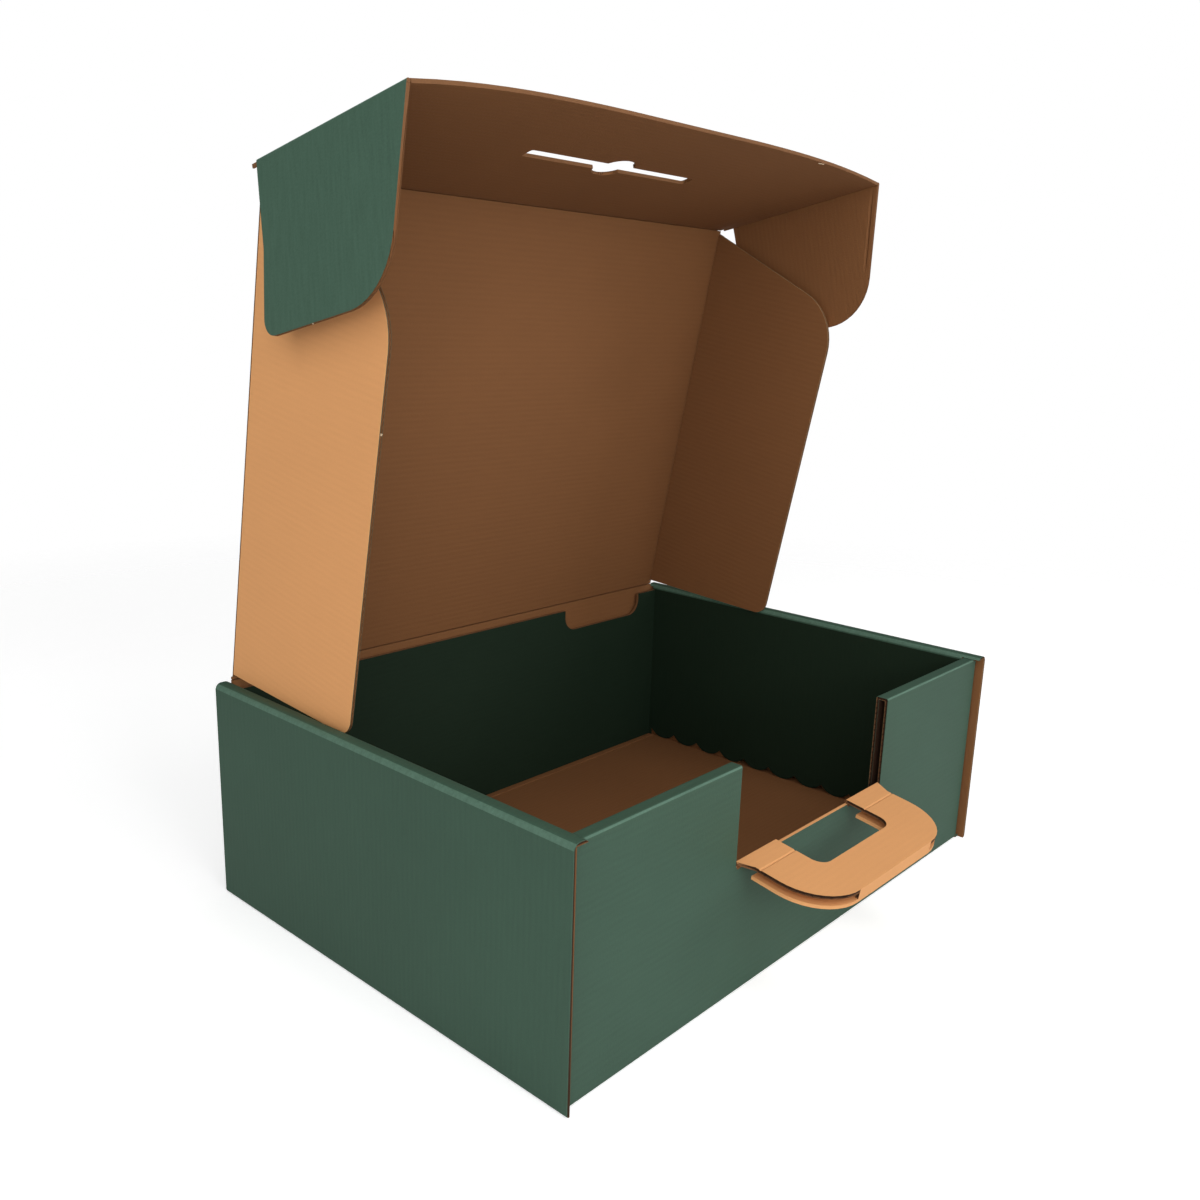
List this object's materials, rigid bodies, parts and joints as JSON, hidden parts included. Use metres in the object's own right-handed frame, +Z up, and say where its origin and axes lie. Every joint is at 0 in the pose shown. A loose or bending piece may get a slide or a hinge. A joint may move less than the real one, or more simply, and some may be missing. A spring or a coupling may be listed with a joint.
{
  "type": "handled gift box",
  "caption": "Corrugated gift box with a loop handle in its front wall, a hinged lid, dust flaps and locking ears.",
  "frame": {"origin": "centre of the tray's flat underside, at the height of the ground", "axes": "+X to the right seen from the front, +Y from the handle to the lid's fold, +Z up"},
  "size_m": [0.3677, 0.3008, 0.402],
  "materials": {
    "printed_board": "matt dark green print on corrugated board, plain brown kraft on the inside of the sheet",
    "kraft_board": "matt unprinted kraft board with fine flute lines"
  },
  "bodies": {
    "tray": {"tray": "printed_board"},
    "lid_panel": {"lid_panel": "printed_board"},
    "left_dust_flap": {"left_dust_flap": "kraft_board"},
    "right_dust_flap": {"right_dust_flap": "kraft_board"},
    "front_flap": {"front_flap": "printed_board"},
    "left_ear": {"left_ear": "printed_board"},
    "right_ear": {"right_ear": "printed_board"},
    "carry_handle": {"carry_handle": "kraft_board"}
  },
  "joints": [
    {"name": "lid_hinge", "type": "hinge", "parent": "tray", "child": "lid_panel", "pos_m": [0, 0.1281, 0.1206], "axis": [1, 0, 0], "range_deg": [-110, 52]},
    {"name": "left_dust_flap_fold", "type": "hinge", "parent": "lid_panel", "child": "left_dust_flap", "pos_m": [-0.16995, 0.10458, 0.23828], "axis": [0, -0.1874, 0.9823], "range_deg": [0, 88]},
    {"name": "right_dust_flap_fold", "type": "hinge", "parent": "lid_panel", "child": "right_dust_flap", "pos_m": [0.16995, 0.10458, 0.23828], "axis": [0, 0.1874, -0.9823], "range_deg": [0, 88]},
    {"name": "front_flap_fold", "type": "hinge", "parent": "lid_panel", "child": "front_flap", "pos_m": [0, 0.08043, 0.37049], "axis": [1, 0, 0], "range_deg": [-66, 22]},
    {"name": "left_ear_fold", "type": "hinge", "parent": "front_flap", "child": "left_ear", "pos_m": [-0.1776, 0.0217, 0.38276], "axis": [0, 0.9789, -0.2045], "range_deg": [0, 84]},
    {"name": "right_ear_fold", "type": "hinge", "parent": "front_flap", "child": "right_ear", "pos_m": [0.1776, 0.0217, 0.38276], "axis": [0, -0.9789, 0.2045], "range_deg": [0, 88]},
    {"name": "handle_fold", "type": "hinge", "parent": "tray", "child": "carry_handle", "pos_m": [0, -0.1243, 0.0687], "axis": [-1, 0, 0], "range_deg": [-30, 99]}
  ]
}
